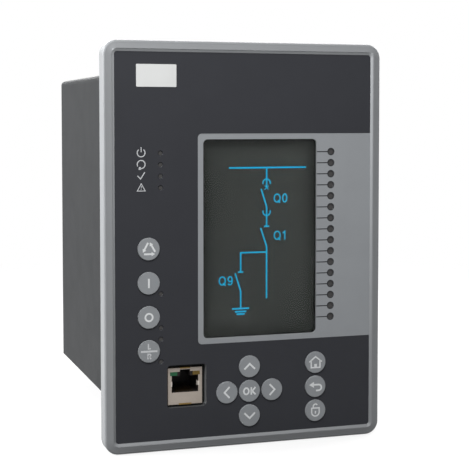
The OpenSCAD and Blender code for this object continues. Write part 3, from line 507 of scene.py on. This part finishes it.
def make_port_springs():
    """Fingers over the shield's upper and lower edges, and brighter ones at the two sides of the mouth."""
    low, high = (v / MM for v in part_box("port_shield"))
    middle = (low + high) / 2
    fingers = bmesh.new()
    for height, up, width, lip in (
        (high.z, 1, UPPER_FINGER_WIDTH, UPPER_FINGER_LIP),
        (low.z, -1, LOWER_FINGER_WIDTH, LOWER_FINGER_LIP),
    ):
        corner = (middle.x, low.y, height)
        folded_finger(fingers, corner, (0, 0, up), (1, 0, 0), width, lip, FINGER_REACH, FINGER_BOW)
    new_piece("port_springs", fingers, SPRING, "relay")
    tabs = bmesh.new()
    for side in (-1, 1):
        corner = (middle.x + side * MOUTH_HALF, low.y, middle.z + TAB_RISE)
        folded_finger(tabs, corner, (-side, 0, 0), (0, 0, 1), TAB_WIDTH, TAB_LIP, TAB_REACH, TAB_BOW)
    new_piece("port_side_tabs", tabs, TAB, "relay")


# Flat prints, each a thin closed form on a face that looks to the front

def arc(centre, radius, start, end, steps=24, tall=None):
    """Points on an arc between two angles in degrees; tall is the upright radius."""
    tall = radius if tall is None else tall
    turns = [math.radians(start + (end - start) * i / steps) for i in range(steps + 1)]
    return [(centre[0] + radius * math.cos(t), centre[1] + tall * math.sin(t)) for t in turns]


def loop(centre, radius, steps=32, tall=None):
    return arc(centre, radius, 0, 360, steps, tall)[:-1]


# Least cosine at a mitred corner, so that a sharp one doesn't run out into a spike
MITRE_LIMIT = 0.4


def line_edges(points, width, closed):
    """The two edges of a line of that width, mitred at its corners."""
    points = [Vector(p) for p in points]
    count = len(points)
    left, right = [], []
    for i, point in enumerate(points):
        ways = []
        if i > 0 or closed:
            ways.append((point - points[i - 1]).normalized())
        if i < count - 1 or closed:
            ways.append((points[(i + 1) % count] - point).normalized())
        along = sum(ways, Vector((0, 0))).normalized()
        across = Vector((-along.y, along.x))
        reach = width / 2 / max(MITRE_LIMIT, across.dot(Vector((-ways[0].y, ways[0].x))))
        left.append(point + across * reach)
        right.append(point - across * reach)
    return left, right


class Print:
    """Collects flat shapes, in millimetres across the front and from the point at, into one mesh."""

    def __init__(self, face_y, height=0.05, at=(0, 0)):
        self.mesh = bmesh.new()
        self.back, self.front, self.at = face_y, face_y - height, at

    def corner(self, point, depth):
        return self.mesh.verts.new(Vector((point[0] + self.at[0], depth, point[1] + self.at[1])) * MM)

    def fill(self, points):
        front = [self.corner(p, self.front) for p in points]
        back = [self.corner(p, self.back) for p in points]
        self.mesh.faces.new(front)
        self.mesh.faces.new(back[::-1])
        for i in range(len(points)):
            j = (i + 1) % len(points)
            self.mesh.faces.new((front[i], back[i], back[j], front[j]))

    def line(self, points, width, closed=False):
        rings = []
        for left, right in zip(*line_edges(points, width, closed)):
            corners = ((left, self.front), (left, self.back), (right, self.back), (right, self.front))
            rings.append([self.corner(point, depth) for point, depth in corners])
        join_rings(self.mesh, rings, closed)

    def arrow(self, tail, tip, width, head_width, head_length):
        tail, tip = Vector(tail), Vector(tip)
        along = (tip - tail).normalized()
        across = Vector((-along.y, along.x))
        neck = tip - along * head_length
        self.fill([
            tail + across * width / 2, tail - across * width / 2,
            neck - across * width / 2, neck - across * head_width / 2,
            tip,
            neck + across * head_width / 2, neck + across * width / 2,
        ])

    def write(self, text, centre, height, width):
        """Plain lettering from single lines."""
        advance = sum(GLYPHS[c][0] for c in text) + GLYPH_GAP * (len(text) - 1)
        x = centre[0] - advance * height / 2
        for c in text:
            glyph_w, lines = GLYPHS[c]
            for points, closed in lines:
                placed = [(x + p[0] * height, centre[1] + (p[1] - 0.5) * height) for p in points]
                self.line(placed, width, closed)
            x += (glyph_w + GLYPH_GAP) * height

    def piece(self, name, finish, body):
        return new_piece(name, self.mesh, finish, body)


# Each letter's width and lines, as shares of its height, with True for a line that closes on itself
GLYPH_GAP = 0.16
GLYPHS = {
    "Q": (0.82, [
        (loop((0.41, 0.5), 0.34, 32, 0.43), True),
        ([(0.5, 0.26), (0.76, -0.02)], False),
    ]),
    "O": (0.84, [(loop((0.42, 0.5), 0.34, 32, 0.41), True)]),
    "0": (0.6, [(loop((0.3, 0.5), 0.23, 32, 0.43), True)]),
    "1": (0.4, [([(0.06, 0.72), (0.3, 0.92), (0.3, 0.02)], False)]),
    "9": (0.6, [
        (loop((0.3, 0.66), 0.22, 28, 0.26), True),
        (arc((0.28, 0.5), 0.25, 20, -30, 8, 0.42) + arc((0.27, 0.3), 0.24, -10, -150, 12, 0.24), False),
    ]),
    "K": (0.76, [
        ([(0.1, 0.0), (0.1, 1.0)], False),
        ([(0.66, 0.98), (0.22, 0.47), (0.68, 0.02)], False),
    ]),
    "L": (0.56, [([(0.1, 1.0), (0.1, 0.08), (0.54, 0.08)], False)]),
    "R": (0.72, [
        ([(0.1, 0.0), (0.1, 0.92), (0.4, 0.92)] + arc((0.4, 0.71), 0.21, 80, -90, 10) + [(0.12, 0.5)], False),
        ([(0.36, 0.5), (0.66, 0.02)], False),
    ]),
}

# Faces that carry prints, as depths along Y in millimetres
OVERLAY_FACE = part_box("front_overlay")[0].y / MM
KEY_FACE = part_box("key_ok")[0].y / MM
GLASS_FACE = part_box("lcd_panel")[0].y / MM


def middle_of(node):
    low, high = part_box(node)
    return ((low.x + high.x) / 2 / MM, (low.z + high.z) / 2 / MM)


# Signs on the keys: widths of their lines, then their outlines about the key's middle
ARROW_LINE = 0.78
ARROW_HEAD_WIDTH = 1.8
ARROW_HEAD_LENGTH = 1.45
SWITCH_LINE = 0.76
DIVIDER_LINE = 0.8
SMALL_LETTER_LINE = 0.55
CHEVRON_LINE = 0.78
LETTER_LINE = 0.72
ROOF_LINE = 0.62
WALL_LINE = 0.6
RETURN_LINE = 0.76
LOCK_LINE = 0.6


def draw_select(sign):
    for tail, tip in (
        ((-0.3, 2.75), (-2.6, -1.45)),
        ((2.8, -1.2), (0.45, 2.85)),
        ((-2.1, -2.15), (2.7, -2.15)),
    ):
        sign.arrow(tail, tip, ARROW_LINE, ARROW_HEAD_WIDTH, ARROW_HEAD_LENGTH)


def draw_close(sign):
    sign.line([(0, -2), (0, 2)], SWITCH_LINE)


def draw_open(sign):
    sign.line(loop((0, 0), 1.6, 40), SWITCH_LINE, True)


def draw_local_remote(sign):
    sign.line([(-3.65, 0), (3.65, 0)], DIVIDER_LINE)
    sign.write("L", (0.1, 2.15), 2.35, SMALL_LETTER_LINE)
    sign.write("R", (0.1, -2.15), 2.4, SMALL_LETTER_LINE)


def draw_chevron(sign, degrees):
    turn = math.radians(degrees)
    sign.line([
        (x * math.cos(turn) - z * math.sin(turn), x * math.sin(turn) + z * math.cos(turn))
        for x, z in ((-2.45, -1.15), (0, 1.2), (2.45, -1.15))
    ], CHEVRON_LINE)


def draw_ok(sign):
    sign.write("OK", (0, 0), 3.4, LETTER_LINE)


def draw_home(sign):
    sign.line([(-3.0, 0.2), (0, 2.55), (3.0, 0.2)], ROOF_LINE)
    sign.line([(-2.1, 0.8), (-2.1, -2.35), (2.1, -2.35), (2.1, 0.8)], WALL_LINE)
    sign.fill([(-0.62, -2.1), (0.62, -2.1), (0.62, -0.75), (-0.62, -0.75)])


def draw_back(sign):
    bend = arc((1.5, -0.55), 1.3, 80, -90, 16)
    sign.fill([(-3.05, 0.75), (-0.75, -0.6), (-0.75, 2.1)])
    sign.line([(-0.9, 0.75), (1.5, 0.75)] + bend + [(0.25, -1.85)], RETURN_LINE)


def draw_lock(sign):
    sign.line([(-1.8, 1.1), (1.8, 1.1)] + arc((0, -0.75), 1.8, 0, -180, 24), LOCK_LINE, True)
    sign.line([(-1.05, 1.3), (-1.05, 1.85)] + arc((0, 1.85), 1.05, 170, 35, 14), LOCK_LINE)
    sign.line([(0, -1.45), (0, -0.2)], LOCK_LINE)


KEY_SIGNS = {
    "select": draw_select,
    "close": draw_close,
    "open": draw_open,
    "local_remote": draw_local_remote,
    "up": lambda sign: draw_chevron(sign, 0),
    "left": lambda sign: draw_chevron(sign, 90),
    "down": lambda sign: draw_chevron(sign, 180),
    "right": lambda sign: draw_chevron(sign, 270),
    "ok": draw_ok,
    "home": draw_home,
    "back": draw_back,
    "lock": draw_lock,
}
FAINT_SIGNS = ("local_remote",)


def make_key_signs():
    for name, draw in KEY_SIGNS.items():
        sign = Print(KEY_FACE, at=middle_of("key_" + name))
        draw(sign)
        finish = FAINT if name in FAINT_SIGNS else SIGN
        sign.piece("sign_" + name, finish, name + "_key")


# Signs beside the status lights: widths of their lines, then their outlines
RING_LINE = 0.43
POWER_LINE = 0.4
TICK_LINE = 0.42
TRIANGLE_LINE = 0.34
MARK_LINE = 0.26


def draw_power(sign):
    sign.line(arc((0, 0), 1.7, 128, 412, 36), RING_LINE)
    sign.line([(0, 0.25), (0, 2.35)], POWER_LINE)


def draw_turning(sign):
    sign.line(arc((0, 0), 1.72, -100, 208, 40), RING_LINE)
    sign.fill([(-1.15, -2.25), (-0.1, -2.3), (-0.15, -1.05), (-0.95, -1.1)])


def draw_tick(sign):
    sign.line([(-1.6, 0), (-0.3, -1.4), (1.6, 1.5)], TICK_LINE)


def draw_fault(sign):
    sign.line([(-1.75, 0), (1.75, 0), (0, 3.1)], TRIANGLE_LINE, True)
    sign.line([(0, 1.15), (0, 2.1)], MARK_LINE)
    sign.line([(0, 0.5), (0, 0.8)], MARK_LINE)


STATUS_X = -47.2
STATUS_SIGNS = ((40.75, draw_power), (35.8, draw_turning), (31.0, draw_tick), (24.5, draw_fault))


def make_status_signs():
    signs = Print(OVERLAY_FACE)
    for height, draw in STATUS_SIGNS:
        signs.at = (STATUS_X, height)
        draw(signs)
    signs.piece("status_signs", ICON, "relay")


# Lines from the window to the alarm lights, each with a ring round its light
ALARM_COUNT = 16
ALARM_X = 39.7
ALARM_TOP = 40.65
ALARM_PITCH = 4.935
ALARM_RING = 1.5
ALARM_RING_LINE = 0.34
LEADER_LINE = 0.42
LEADER_HEIGHT = 0.03
LEADER_GAP = 0.02


def make_leader_lines():
    lines = Print(OVERLAY_FACE, LEADER_HEIGHT)
    for i in range(ALARM_COUNT):
        z = ALARM_TOP - i * ALARM_PITCH
        lines.line([(WINDOW[1] + LEADER_GAP, z), (ALARM_X - ALARM_RING, z)], LEADER_LINE)
        lines.line(loop((ALARM_X, z), ALARM_RING, 40), ALARM_RING_LINE, True)
    lines.piece("leader_lines", LINE, "relay")


# Diagram on the display. Its face lies behind the film, so the shift brings the lines to where the
# photograph's view shows them against the window.
SCREEN_SHIFT = (0.62, -0.2)
SCREEN_HEIGHT = 0.04
SCREEN_LINE = 0.63
SCREEN_BAR = 0.7
CUP_LINE = 0.55
CUP_R = 1.7
CUP_RIM = 0.5
UPPER_CUP_Z = 27.2
LOWER_CUP_Z = 14.5
CROSS_LINE = 0.34
CROSS_HALF = 0.95
CROSS_BOTTOM = 24.2
CROSS_TOP = 26.0
FEEDER_X = 9.45
BRANCH_X = -2.6
NAME_HEIGHT = 4.1
NAME_LINE = 0.54
SWITCH_NAMES = {"Q0": (15.95, 20.4), "Q1": (15.6, 3.85), "Q9": (-9.5, -15.5)}


def draw_cup(screen, height, start, rim):
    """A half ring on the feeder that is open towards its rim, with two short straight ends."""
    ring = arc((FEEDER_X, height), CUP_R, start, start + 180, 20)
    first, last = [(x, height + rim) for x, _ in (ring[0], ring[-1])]
    screen.line([first] + ring + [last], CUP_LINE)


def make_screen_diagram():
    screen = Print(GLASS_FACE, SCREEN_HEIGHT, SCREEN_SHIFT)
    for points in (
        [(FEEDER_X, 33.6), (FEEDER_X, 25.1)],
        [(6.9, 24.6), (FEEDER_X, 16.7), (FEEDER_X, 8.3)],
        [(8.25, 8.0), (10.7, 8.0)],
        [(6.7, 7.3), (FEEDER_X, -0.85), (FEEDER_X, -24.0)],
        [(FEEDER_X, -3.4), (BRANCH_X, -3.4), (BRANCH_X, -11.7)],
        [(BRANCH_X - 1.25, -11.9), (BRANCH_X + 1.25, -11.9)],
        [(BRANCH_X - 2.55, -12.4), (BRANCH_X, -20.3), (BRANCH_X, -27.7)],
    ):
        screen.line(points, SCREEN_LINE)
    for points in (
        [(-8, 33.97), (28, 33.97)],
        [(BRANCH_X - 3.95, -28.05), (BRANCH_X + 3.95, -28.05)],
        [(BRANCH_X - 2.6, -29.4), (BRANCH_X + 2.6, -29.4)],
        [(BRANCH_X - 1.85, -30.5), (BRANCH_X + 1.85, -30.5)],
    ):
        screen.line(points, SCREEN_BAR)
    draw_cup(screen, UPPER_CUP_Z, 0, -CUP_RIM)
    draw_cup(screen, LOWER_CUP_Z, 180, CUP_RIM)
    for lean in (-CROSS_HALF, CROSS_HALF):
        screen.line([(FEEDER_X - lean, CROSS_BOTTOM), (FEEDER_X + lean, CROSS_TOP)], CROSS_LINE)
    for text, centre in SWITCH_NAMES.items():
        screen.write(text, centre, NAME_HEIGHT, NAME_LINE)
    screen.piece("screen_diagram", GLOW, "relay")


# Bare plate on the film, in millimetres: left, right, bottom and top, then its form
PLATE_BOX = (-49.3, -31.6, 68.75, 78.4)
PLATE_R = 0.4
PLATE_T = 0.2
PLATE_SOFTNESS = 0.06


def make_bare_plate():
    """Plain pale plate at the upper left, with rounded corners and a softened front edge."""
    left, right, bottom, top = PLATE_BOX
    plate = Print(OVERLAY_FACE, PLATE_T)
    corners = [
        ((right - PLATE_R, top - PLATE_R), 0), ((left + PLATE_R, top - PLATE_R), 90),
        ((left + PLATE_R, bottom + PLATE_R), 180), ((right - PLATE_R, bottom + PLATE_R), 270),
    ]
    plate.fill([p for centre, start in corners for p in arc(centre, PLATE_R, start, start + 90, 6)])
    made = plate.piece("bare_plate", PLATE, "relay")
    soften = made.modifiers.new("softened_edge", "BEVEL")
    soften.width = PLATE_SOFTNESS * MM
    soften.segments = 2


# Floor, background and lamps, in metres and watts
FLOOR_SIZE = 8
FLOOR_DROP = 0.0002
FLOOR_BOUNCE = (0.2, 0.2, 0.2, 1)
FLOOR_SEEN = (0.86, 0.86, 0.86, 1)
SHADOW_SHARE = 0.22
SHADOW_REACH = (0.18, 0.7)
SOFT_LIGHT = (0.97, 0.98, 1, 1)
SOFT_STRENGTH = 0.2
LAMPS = (
    # name, place, aim, size, power
    ("key_light", (-0.14, -0.28, 0.38), (0, 0, 0.02), 0.3, 2.9),
    ("side_light", (-0.5, 0.16, 0.22), (0, 0.05, 0), 0.3, 6.4),
    ("right_light", (0.6, 0.36, 0.35), (0, 0.08, 0), 0.5, 7.5),
    ("rear_light", (0.15, 0.9, 0.5), (0, 0.1, 0), 0.6, 8.0),
)


def background_rays(tree):
    """1 for the rays that show the background: the camera's, and those from gloss and glass."""
    path = add_node(tree, "ShaderNodeLightPath")
    seen = math_node(tree, "MAXIMUM", path.outputs["Is Camera Ray"], path.outputs["Is Glossy Ray"])
    return math_node(tree, "MAXIMUM", seen, path.outputs["Is Transmission Ray"])


def make_floor():
    """White where it is seen, with a share near the object that stays lit and so keeps the shadow."""
    bpy.ops.mesh.primitive_plane_add(size=FLOOR_SIZE)
    floor = bpy.context.object
    floor.name = "floor"
    floor.location = (0, 0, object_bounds()[0].z - FLOOR_DROP)
    pale = bpy.data.materials.new("pale_floor")
    pale.use_nodes = True
    tree = pale.node_tree
    tree.nodes.clear()
    place = add_node(tree, "ShaderNodeTexCoord").outputs["Object"]
    reach = vector_node(tree, "LENGTH", place)["Value"]
    shadow = map_range(tree, reach, *SHADOW_REACH, SHADOW_SHARE, 0.0)
    rays = background_rays(tree)
    seen = math_node(tree, "MULTIPLY", rays, math_node(tree, "SUBTRACT", 1.0, shadow))
    lit = add_node(tree, "ShaderNodeBsdfDiffuse", {
        "Color": mix_colour(tree, rays, FLOOR_BOUNCE, FLOOR_SEEN),
    })
    glow = add_node(tree, "ShaderNodeEmission", {"Color": WHITE_LIGHT, "Strength": 1.0})
    mixed = add_node(tree, "ShaderNodeMixShader", {0: seen, 1: lit.outputs[0], 2: glow.outputs[0]})
    add_node(tree, "ShaderNodeOutputMaterial", {"Surface": mixed.outputs[0]})
    floor.data.materials.append(pale)


def make_world():
    """Soft light on the object, and white for the rays that show the background."""
    world = bpy.data.worlds.new("world")
    world.use_nodes = True
    tree = world.node_tree
    tree.nodes.clear()
    soft = add_node(tree, "ShaderNodeBackground", {"Color": SOFT_LIGHT, "Strength": SOFT_STRENGTH})
    white = add_node(tree, "ShaderNodeBackground", {"Color": WHITE_LIGHT, "Strength": 1.0})
    mixed = add_node(tree, "ShaderNodeMixShader", {
        0: background_rays(tree), 1: soft.outputs[0], 2: white.outputs[0],
    })
    add_node(tree, "ShaderNodeOutputWorld", {"Surface": mixed.outputs[0]})
    bpy.context.scene.world = world


def make_lamps():
    for name, place, aim, size, power in LAMPS:
        data = bpy.data.lights.new(name, "AREA")
        data.shape = "SQUARE"
        data.size = size
        data.energy = power
        lamp = bpy.data.objects.new(name, data)
        lamp.location = place
        lamp.rotation_euler = (Vector(aim) - Vector(place)).to_track_quat("-Z", "Y").to_euler()
        bpy.context.scene.collection.objects.link(lamp)


bpy.context.scene.view_settings.view_transform = "Standard"
make_camera()
dress_nodes()
make_key_signs()
make_status_signs()
make_leader_lines()
make_screen_diagram()
make_bare_plate()
make_port_springs()
make_floor()
make_world()
make_lamps()
